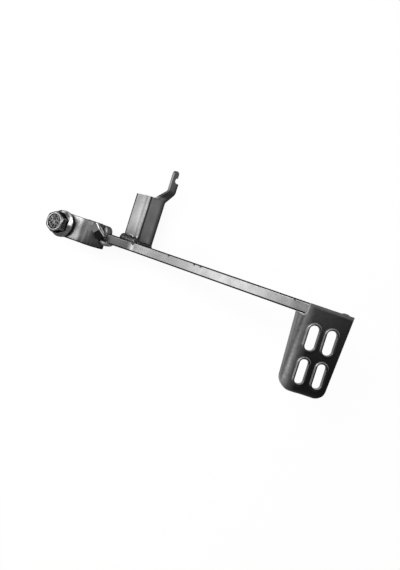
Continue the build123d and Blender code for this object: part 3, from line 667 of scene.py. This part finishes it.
def slot_highlights(tree, place, centre, half_width):
    """Masks of the painted highlights on the crest and inside one slot."""
    out, side = slot_distance(tree, place, centre, half_width)
    rise, fall, lit, inside, away = (
        add(tree, "ShaderNodeMapRange", Value=value, From_Min=start, From_Max=full,
            To_Max=strength).outputs[0]
        for value, start, full, strength in (
            (out, *CREST_MM[:2], 1.0), (out, *CREST_MM[:1:-1], 1.0), (side, *CREST_SIDES),
            (out, *WALL_MM, 1.0), (side, *WALL_SIDES)))
    line = add(tree, "ShaderNodeMath", TIMES, i0=rise, i1=fall)
    crest = add(tree, "ShaderNodeMath", TIMES, i0=line.outputs[0], i1=lit)
    wall = add(tree, "ShaderNodeMath", TIMES, i0=inside, i1=away)
    return [crest.outputs[0], wall.outputs[0]]


print("crest line: %.1f mm wide" % (CREST_MM[3] - CREST_MM[0]))

# %% [markdown]
# ## The paint itself
#
# The largest of all the painted sheen and highlight masks counts, broken up a little by soft patches,
# and drives both the colour and the metallic share. The paint's specular level is low, so that the
# white surroundings don't lift its black.

# %% Paint
PAINT_BLACK = "#070708"
HIGHLIGHT_STEEL = "#a4a4a4"
PAINT_SPECULAR = 0.08


def black_paint():
    material, tree = new_material("satin_black_dip_paint_with_painted_highlights")
    place = add(tree, "ShaderNodeTexCoord").outputs["Object"]
    masks = [field_sheen(tree, place), bend_highlights(tree, place), band(tree, place, *ARM_LIP),
             notch_highlight(tree, place)]
    for slot in SLOTS_MM:
        masks += slot_highlights(tree, place, *slot)
    # Painted sheen and highlights: where the masks say, the black turns to bare steel colour and metal.
    sheen = add(tree, "ShaderNodeMath", TIMES, i0=strongest(tree, masks),
               i1=patches(tree, place, 3, 0.8, 1.15)).outputs[0]
    base = add(tree, "ShaderNodeMix", BLEND, i0=sheen, i6=colour(PAINT_BLACK),
               i7=colour(HIGHLIGHT_STEEL)).outputs[2]
    shader = add(tree, "ShaderNodeBsdfPrincipled", Base_Color=base, Metallic=sheen,
                 Roughness=patches(tree, place, 6, 0.3, 0.4), Specular_IOR_Level=PAINT_SPECULAR,
                 Normal=grain(tree, place, 1.5, 0.01))
    add(tree, "ShaderNodeOutputMaterial", Surface=shader.outputs[0])
    return material


dress(black_paint(), "foot_pad")
missing = set(nodes) - set(FINISH)
print("nodes without a finish:", ", ".join(sorted(missing)) or "none")

# %% [markdown]
# ## Weld beads
#
# A bead laid by hand is a row of overlapping puddles, each a flat dome pushed a little past the last.
# It could be sculpted, or faked with a bump, but a row of squashed spheres gives the true outline and
# the crescent ripples at once. A Geometry Nodes tree places them: it samples the joint's path at the
# travel step, squashes each sphere to the bead's two legs, and varies it a little.

# %% Geometry Nodes tree for a row of puddles
BALL = {"Segments": 24, "Rings": 16, "Radius": 1.0}
LEAST_PUDDLE = (0.85, 0.9, 0.9)        # shares of the half sizes
MOST_PUDDLE = (1.1, 1.06, 1.06)


def new_tree(name, inputs, output):
    """An empty geometry tree with named inputs and one named output."""
    tree = bpy.data.node_groups.new(name, "GeometryNodeTree")
    for label, kind in inputs:
        tree.interface.new_socket(label, in_out="INPUT", socket_type="NodeSocket" + kind)
    tree.interface.new_socket(output, in_out="OUTPUT", socket_type="NodeSocketGeometry")
    return tree, tree.nodes.new("NodeGroupInput").outputs


def puddle_tree():
    tree, given = new_tree("weld_puddles", (
        ("Path", "Geometry"), ("Step", "Float"), ("Half Sizes", "Vector"), ("Up", "Vector"),
        ("Scatter", "Float"), ("Seed", "Int"), ("Finish", "Material")), "Puddles")
    curve = add(tree, "GeometryNodeMeshToCurve", Mesh=given["Path"])
    points = add(tree, "GeometryNodeCurveToPoints", {"mode": "LENGTH"}, Curve=curve.outputs[0],
                 Length=given["Step"])
    stray = add(tree, "FunctionNodeRandomValue", {"data_type": "FLOAT_VECTOR"}, i0=(-1, -1, -1),
                i1=(1, 1, 1), Seed=given["Seed"])
    off = add(tree, "ShaderNodeVectorMath", {"operation": "SCALE"}, i0=stray.outputs[0],
              Scale=given["Scatter"])
    spread = add(tree, "GeometryNodeSetPosition", Geometry=points.outputs["Points"], Offset=off.outputs[0])
    upright = add(tree, "FunctionNodeAlignRotationToVector", {"axis": "Z"}, Vector=given["Up"])
    aimed = add(tree, "FunctionNodeAlignRotationToVector", {"axis": "X", "pivot_axis": "Z"},
                Rotation=upright.outputs[0], Vector=points.outputs["Tangent"])
    vary = add(tree, "FunctionNodeRandomValue", {"data_type": "FLOAT_VECTOR"}, i0=LEAST_PUDDLE,
               i1=MOST_PUDDLE, Seed=given["Seed"])
    size = add(tree, "ShaderNodeVectorMath", TIMES, i0=given["Half Sizes"], i1=vary.outputs[0])
    ball = add(tree, "GeometryNodeMeshUVSphere", **BALL)
    rows = add(tree, "GeometryNodeInstanceOnPoints", Points=spread.outputs[0], Instance=ball.outputs["Mesh"],
               Rotation=aimed.outputs[0], Scale=size.outputs[0])
    real = add(tree, "GeometryNodeRealizeInstances", Geometry=rows.outputs[0])
    smooth = add(tree, "GeometryNodeSetShadeSmooth", Geometry=real.outputs[0])
    finish = add(tree, "GeometryNodeSetMaterial", Geometry=smooth.outputs[0], Material=given["Finish"])
    tree.links.new(finish.outputs[0], tree.nodes.new("NodeGroupOutput").inputs[0])
    return tree


PUDDLES = puddle_tree()
print("puddle tree: %d nodes" % len(PUDDLES.nodes))

# %% [markdown]
# ## From a path to a mounted piece
#
# A tree needs an object to run on. Its modifier could stay there, but a finished piece has to be a
# plain mesh. So the tree runs once on a small mesh of edges, and only the result is kept. Mounting it
# says what it moves with, and which CAD node it stands for.

# %% Helpers that lay a bead
def grown(name, points, tree, values):
    """Run a tree on a path of millimetre points and return the plain mesh object that it makes."""
    path = bpy.data.meshes.new(name + "_path")
    path.from_pydata([Vector(p) * MM for p in points], [(i, i + 1) for i in range(len(points) - 1)], [])
    holder = bpy.data.objects.new(name, path)
    bpy.context.scene.collection.objects.link(holder)
    modifier = holder.modifiers.new("grow", "NODES")
    modifier.node_group = tree
    for item in tree.interface.items_tree:
        if item.in_out == "INPUT" and item.name in values:
            modifier[item.identifier] = values[item.name]
    bpy.context.view_layer.update()
    made = bpy.data.meshes.new_from_object(holder.evaluated_get(bpy.context.evaluated_depsgraph_get()))
    holder.modifiers.clear()
    holder.data = made
    return holder


def bead(name, points, step, half_sizes, up, seed, scatter=0.0, finish=DARK_WELD):
    """A row of puddles: half sizes along the path, across it and along the up direction."""
    return grown(name, points, PUDDLES, {
        "Step": step * MM, "Half Sizes": Vector(half_sizes) * MM, "Up": Vector(up), "Seed": seed,
        "Scatter": scatter * MM, "Finish": finish})


print("puddle inputs:", len(PUDDLES.interface.items_tree) - 1)


# %% Helpers that join and mount pieces
def joined(name, parts, finish):
    """Several mesh objects as one."""
    whole = bmesh.new()
    for part in parts:
        whole.from_mesh(part.data)
        bpy.data.objects.remove(part)
    mesh = bpy.data.meshes.new(name)
    whole.to_mesh(mesh)
    whole.free()
    mesh.materials.append(finish)
    made = bpy.data.objects.new(name, mesh)
    bpy.context.scene.collection.objects.link(made)
    return made


def mount(obj, slot_name, *replaced):
    """Let a finished piece ride on the pedal, in place of CAD nodes. The slot name is not used."""
    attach(obj, "pedal")
    if replaced:
        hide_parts(*replaced)
    print("%s: %d triangles" % (obj.name, sum(len(p.vertices) - 2 for p in obj.data.polygons)))


def spaced(start, stop, steps):
    return [start + (stop - start) * i / steps for i in range(steps + 1)]


arm_low, arm_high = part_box("arm_bar")
arm_pad_face, arm_bracket_face = arm_low[1] / MM, arm_high[1] / MM
print("arm's faces at Y %.1f and %.1f mm" % (arm_pad_face, arm_bracket_face))

# %% [markdown]
# ## Beads between hub and arm
#
# Two beads hold the arm to the hub, one on each side of the bar, and both climb round the hub. The one
# on the bracket's side stands tall in the corner, and the other is flatter and reaches further over
# the hub. A straight bead with a bend would miss the round, so both paths are arcs of the hub's radius.

# %% Beads between hub and arm
HUB_RADIUS_MM = 15.0
HUB_BEAD_SPAN = (-36, 31)      # degrees round the hub, from level
ARC_STEPS = 24
PIVOT_WAY = (0, 1, 0)          # out of the arm's side, along the pivot


def hub_arc(y):
    return [(HUB_RADIUS_MM * cos(radians(a)), y, HUB_RADIUS_MM * sin(radians(a)))
            for a in spaced(*HUB_BEAD_SPAN, ARC_STEPS)]


mount(bead("hub_bead_bracket_side", hub_arc(arm_bracket_face), step=1.3, half_sizes=(2.1, 4.6, 6.7),
           up=PIVOT_WAY, seed=3, finish=BRUSHED_WELD), "weld_metal", "hub_weld_bracket_side")
mount(bead("hub_bead_pad_side", hub_arc(arm_pad_face), step=1.4, half_sizes=(2.2, 8.3, 3.6),
           up=PIVOT_WAY, seed=5, finish=BRUSHED_WELD), "weld_metal", "hub_weld_pad_side")

# %% [markdown]
# ## Beads round the bracket's root
#
# The bracket stands on the arm's side on the ends of its two legs. The leg on the hub's side has a heavy
# bead, laid slowly, and the other a light one. They could be two pieces, but they are one weld in the
# CAD frame, so the rows are joined. Both stay dark, because nobody brushed the corner.

# %% Beads round the bracket's root
HUB_SIDE, PAD_SIDE = -1, 1
LEG_STEPS = 20


def leg_line(side, start, stop):
    """The corner between one leg of the bracket and the arm, from the ridge down."""
    run = Vector((side * SLOPE, 0, -SLOPE))
    ridge = RIDGE_MM + Vector((0, arm_bracket_face, 0))
    return [ridge + run * down for down in spaced(start, stop, LEG_STEPS)]


heavy = bead("heavy", leg_line(HUB_SIDE, 1.0, 24.5), step=1.5, half_sizes=(2.1, 4.2, 5.6), up=PIVOT_WAY,
             seed=11, scatter=0.25)
light = bead("light", leg_line(PAD_SIDE, 2.0, 19.5), step=1.3, half_sizes=(1.9, 2.5, 2.6), up=PIVOT_WAY,
             seed=17, scatter=0.15)
mount(joined("bracket_bead", [heavy, light], DARK_WELD), "weld_metal", "bracket_weld")

# %% [markdown]
# ## Spatter above the heavy bead
#
# A hot weld throws drops that freeze as specks on the sheet next to it. These are coloured near white,
# as painted glints. A speckled texture would lie flat, and these catch the light. So the puddle tree is
# used again, with tiny puddles, long steps and a wide scatter.

# %% Spatter
SPATTER_RISE_MM = 5.8          # up the leg from the arm's side
spatter_line = [p + Vector((0, SPATTER_RISE_MM, 0)) for p in leg_line(HUB_SIDE, 0.5, 15)]
# Painted glints: the spatter is coloured near white.
SPATTER = cloudy_metal("bright_weld_spatter", "#f3f3f3", "#d8d8d8", **dict(WELD_SKIN, roughness=(0.5, 0.6)))
mount(bead("bracket_spatter", spatter_line, step=2.4, half_sizes=(0.7, 0.55, 0.55), up=PIVOT_WAY,
           seed=43, scatter=1.1, finish=SPATTER), "weld_metal")

# %% [markdown]
# ## Bead round the foot of the nut
#
# The nut is welded round its back and sides, and its mouth is left free for the screw. The line runs
# over the hub's crown and down to the arm's top. It could be projected onto the mesh, but its height is
# simply the higher of the two.

# %% Nut bead
NUT_BEAD_REACH_MM = (5.0, 8.2)    # behind the nut, and beside it
NUT_BEAD_SPAN = (80, 280)         # degrees, from the way the mouth looks
NUT_BEAD_SINK_MM = 0.3
ARM_TOP_MM = 9.0
UPWARDS = (0, 0, 1)


def nut_horseshoe():
    """A line on the hub's crown and the arm's top, round the nut's back and sides."""
    points = []
    for a in spaced(*NUT_BEAD_SPAN, ARC_STEPS):
        behind, beside = NUT_BEAD_REACH_MM[0] * cos(radians(a)), NUT_BEAD_REACH_MM[1] * sin(radians(a))
        x = NUT_CENTRE_MM[0] + behind * cos(NUT_TURN) - beside * sin(NUT_TURN)
        y = NUT_CENTRE_MM[1] + behind * sin(NUT_TURN) + beside * cos(NUT_TURN)
        crown = sqrt(max(HUB_RADIUS_MM**2 - x**2, 0))
        points.append((x, y, max(crown, ARM_TOP_MM) - NUT_BEAD_SINK_MM))
    return points


mount(bead("nut_bead", nut_horseshoe(), step=1.3, half_sizes=(1.6, 1.5, 1.2), up=UPWARDS, seed=23,
           scatter=0.2, finish=BRUSHED_WELD), "weld_metal", "nut_weld")

# %% [markdown]
# ## Beads under the foot pad
#
# The pad lies on the level end of the arm and is welded from below, along one side and round the end.
# The end of the second row shows in the notch. Rows laid right at the sheet's underside would stand
# through it, so they are sunk a little.

# %% Pad beads
PAD_BEAD_SINK_MM = 1.1
TONGUE_INSET_MM = 4.5          # from the end of the welds' box back to the end of the arm
ROW_INSET_MM = 2.0             # from both ends of the side row
END_ROW_INSET_MM = (1.0, 0.8)  # from the arm's two faces
pad_weld_low, pad_weld_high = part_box("pad_welds")
row_z = pad_weld_high[2] / MM - PAD_BEAD_SINK_MM
row_start, tongue_end = pad_weld_low[0] / MM + ROW_INSET_MM, pad_weld_high[0] / MM - TONGUE_INSET_MM
side_row = bead("side_row", [(row_start, arm_pad_face, row_z),
                             (tongue_end - ROW_INSET_MM, arm_pad_face, row_z)],
                step=1.4, half_sizes=(2.0, 4.0, 2.5), up=UPWARDS, seed=31)
end_row = bead("end_row", [(tongue_end, arm_pad_face + END_ROW_INSET_MM[0], row_z),
                           (tongue_end, arm_bracket_face - END_ROW_INSET_MM[1], row_z)],
               step=1.4, half_sizes=(1.9, 3.9, 2.6), up=UPWARDS, seed=37, scatter=0.3)
mount(joined("pad_beads", [side_row, end_row], BRUSHED_WELD), "weld_metal", "pad_welds")

# %% [markdown]
# ## Rolled edges
#
# A shear pulls the sheet's edge round before it cuts, and tumbling rounds the sawn ends of the hub. So
# neither part has knife edges: each edge is a small roll, and the painted shade of the masks above
# darkens it into the outline. A bevel in the shader would leave the outline sharp. The CAD solids have
# sharp edges, so a copy of each mesh is merged, cleaned of flat triangles and bevelled.

# %% Bevelled copies of the bracket and the hub
MERGE_MM = 0.01
FLAT_ANGLE = radians(1)        # triangles that meet at less than this become one face
SHARP_ANGLE = radians(40)      # edges that turn by more than this are rolled
ROLL_STEPS = 3


def rolled(node, name, width):
    """Round the sharp edges of a CAD node's copy, and let it take the node's place."""
    work = bmesh.new()
    work.from_mesh(nodes[node].data)
    bmesh.ops.remove_doubles(work, verts=work.verts, dist=MERGE_MM * MM)
    bmesh.ops.dissolve_limit(work, angle_limit=FLAT_ANGLE, verts=work.verts, edges=work.edges)
    bmesh.ops.recalc_face_normals(work, faces=work.faces)
    mesh = bpy.data.meshes.new(name)
    work.to_mesh(mesh)
    work.free()
    for polygon in mesh.polygons:
        polygon.use_smooth = True
    copy = bpy.data.objects.new(name, mesh)
    bpy.context.scene.collection.objects.link(copy)
    bevel = copy.modifiers.new("roll", "BEVEL")
    bevel.width, bevel.segments = width * MM, ROLL_STEPS
    bevel.limit_method, bevel.angle_limit = "ANGLE", SHARP_ANGLE
    bevel.harden_normals = True
    bpy.context.view_layer.update()
    mesh = bpy.data.meshes.new_from_object(copy.evaluated_get(bpy.context.evaluated_depsgraph_get()))
    copy.modifiers.clear()
    copy.data = mesh
    mesh.materials.clear()
    mesh.materials.append(FINISH[node])
    mount(copy, "satin_steel", node)


rolled("hook_bracket", "rolled_hook_bracket", width=0.7)
rolled("hub_clamp", "rolled_hub_clamp", width=1.1)

# %% [markdown]
# ## Screw threads
#
# The tip of the pinch bolt shows below the clamp, and the welded nut has an open hole. A thread could
# be a striped bump, but its ridges show against the light. So one tree draws a helix that climbs one
# pitch in each turn, and sweeps a four-sided ridge along it, half sunk in the metal. It serves both.

# %% Geometry Nodes tree for a thread
HELIX_SIDES = 48               # points in each turn
RIDGE_SIDES = 4


def thread_tree():
    tree, given = new_tree("screw_thread", (("Radius", "Float"), ("Turns", "Float"), ("Pitch", "Float"),
                                            ("Ridge", "Float"), ("Finish", "Material")), "Thread")
    height = add(tree, "ShaderNodeMath", TIMES, i0=given["Turns"], i1=given["Pitch"])
    helix = add(tree, "GeometryNodeCurveSpiral", Resolution=HELIX_SIDES, Rotations=given["Turns"],
                Start_Radius=given["Radius"], End_Radius=given["Radius"], Height=height.outputs[0])
    ridge = add(tree, "GeometryNodeCurvePrimitiveCircle", Resolution=RIDGE_SIDES, Radius=given["Ridge"])
    sweep = add(tree, "GeometryNodeCurveToMesh", Curve=helix.outputs[0], Profile_Curve=ridge.outputs[0],
                Fill_Caps=True)
    real = add(tree, "GeometryNodeRealizeInstances", Geometry=sweep.outputs[0])
    finish = add(tree, "GeometryNodeSetMaterial", Geometry=real.outputs[0], Material=given["Finish"])
    tree.links.new(finish.outputs[0], tree.nodes.new("NodeGroupOutput").inputs[0])
    return tree


THREAD = thread_tree()


def thread(name, place, slot_name, finish, radius, turns, pitch, ridge):
    made = grown(name, [(0, 0, 0), (0, 0, 1)], THREAD, {
        "Radius": radius * MM, "Turns": turns, "Pitch": pitch * MM, "Ridge": ridge * MM, "Finish": finish})
    made.data.transform(place)
    mount(made, slot_name)


print("thread tree: %d nodes" % len(THREAD.nodes))

# %% [markdown]
# ## Where the two threads sit
#
# A helix is drawn at the origin, along Z. It could be turned as an object, but a finished piece stays
# at the origin, so a matrix moves its mesh: for the bolt, the tilt of the clamp's ears, and for the
# nut, its turn on the hub and a quarter turn that lays it on its side.

# %% Threads of bolt and nut
BOLT_TIP_MM = -7.4             # along the bolt's axis, from the pivot's level
NUT_Z_MM = 19.04
NUT_THREAD_START_MM = -3.2     # along the nut's axis, from its middle
bolt_place = Matrix.Rotation(-EAR_TILT, 4, "Y") @ Matrix.Translation(
    Vector((-BOLT_REACH_MM, 0, BOLT_TIP_MM)) * MM)
thread("bolt_thread", bolt_place, "plated_steel", FINISH["clamp_bolt"], radius=5.75, turns=3.2, pitch=1.75,
       ridge=0.42)

nut_place = Matrix.Translation(Vector((*NUT_CENTRE_MM, NUT_Z_MM)) * MM)
nut_place = nut_place @ Matrix.Rotation(NUT_TURN, 4, "Z") @ Matrix.Rotation(radians(90), 4, "Y")
nut_place = nut_place @ Matrix.Translation((0, 0, NUT_THREAD_START_MM * MM))
thread("nut_thread_ridge", nut_place, "satin_steel", FINISH["weld_nut"], radius=4.35, turns=4.2, pitch=1.5,
       ridge=0.4)

# %% [markdown]
# ## Floor and world
#
# A product like this is shown on white paper. Lit only by the lamps it would come out grey, and a
# plain white backdrop would have no shadow. So nearly all of its brightness is a glow that only the
# camera and reflections see, and the rest keeps a very faint shadow. The world is split in the same
# way, white to look at and dimmer as a light, so that the lamps still shape the metal.

# %% Floor and world
FLOOR_GAP_MM = 2
PAPER_SIZE = 6                 # metres
PAPER_MIDDLE = 0.1             # metres along X
GLOW_SHARE = 0.93
AMBIENT = 0.45
WHITE = (1, 1, 1, 1)


def seen_white(tree):
    """1 for camera, glossy and transmission rays."""
    rays = add(tree, "ShaderNodeLightPath").outputs
    return strongest(tree, [rays["Is Camera Ray"], rays["Is Glossy Ray"], rays["Is Transmission Ray"]])


bpy.ops.mesh.primitive_plane_add(size=PAPER_SIZE,
                                 location=(PAPER_MIDDLE, 0, CAD_BOX[0][2] - FLOOR_GAP_MM * MM))
floor = bpy.context.object
floor.name = "floor"
paper, tree = new_material("white_paper")
shader = add(tree, "ShaderNodeBsdfPrincipled", Base_Color=colour("#f4f4f4"), Roughness=0.9)
glow = add(tree, "ShaderNodeEmission", Color=WHITE, Strength=1.0)
share = add(tree, "ShaderNodeMath", TIMES, i0=seen_white(tree), i1=GLOW_SHARE)
mix = add(tree, "ShaderNodeMixShader", i0=share.outputs[0], i1=shader.outputs[0], i2=glow.outputs[0])
add(tree, "ShaderNodeOutputMaterial", Surface=mix.outputs[0])
floor.data.materials.append(paper)

world = bpy.data.worlds.new("studio")
bpy.context.scene.world = world
world.use_nodes = True
tree = world.node_tree
tree.nodes.clear()
ambient = add(tree, "ShaderNodeBackground", Color=WHITE, Strength=AMBIENT)
white = add(tree, "ShaderNodeBackground", Color=WHITE, Strength=1.0)
mix = add(tree, "ShaderNodeMixShader", i0=seen_white(tree), i1=ambient.outputs[0], i2=white.outputs[0])
add(tree, "ShaderNodeOutputWorld", Surface=mix.outputs[0])
print("floor at Z %.1f mm" % (floor.location.z / MM))

# %% [markdown]
# ## Lamps
#
# Worn metal shows the lamps more than its own colour, so large soft rectangles suit it. One long lamp
# on the hub's side brightens the sloping arm, a low one on the same side lights the bracket's leg, and
# a narrower one overhead lights the crescent on the bolt's flange, on top of its painted highlight. A
# picture of a studio round the scene could do the same, but it is a file, and harder to aim.

# %% Lamps
LAMPS = (                      # name, place, target and size in metres, watts
    ("key_left", (-0.80, 0.0, 0.80), (0.13, 0, 0.04), (0.9, 0.34), 5.0),
    ("low_left", (-1.1, 0.22, 0.24), (0.05, 0.03, 0.0), (1.2, 0.44), 12.0),
    ("top", (-0.42, 0.34, 1.09), (0.0, 0, 0.01), (0.28, 0.65), 8.0))
for name, place, target, size, watts in LAMPS:
    lamp = bpy.data.lights.new(name, "AREA")
    lamp.shape = "RECTANGLE"
    lamp.size, lamp.size_y = size
    lamp.energy = watts
    holder = bpy.data.objects.new(name, lamp)
    bpy.context.scene.collection.objects.link(holder)
    aim = Vector(target) - Vector(place)
    holder.matrix_world = Matrix.Translation(place) @ aim.to_track_quat("-Z", "Y").to_matrix().to_4x4()
    print("%s: %d W from %.2f m" % (name, watts, aim.length))

# %% [markdown]
# ## The end
#
# The last cell sets the Standard view transform, so that colours render as they are written.

# %% Finish
bpy.context.scene.view_settings.view_transform = "Standard"
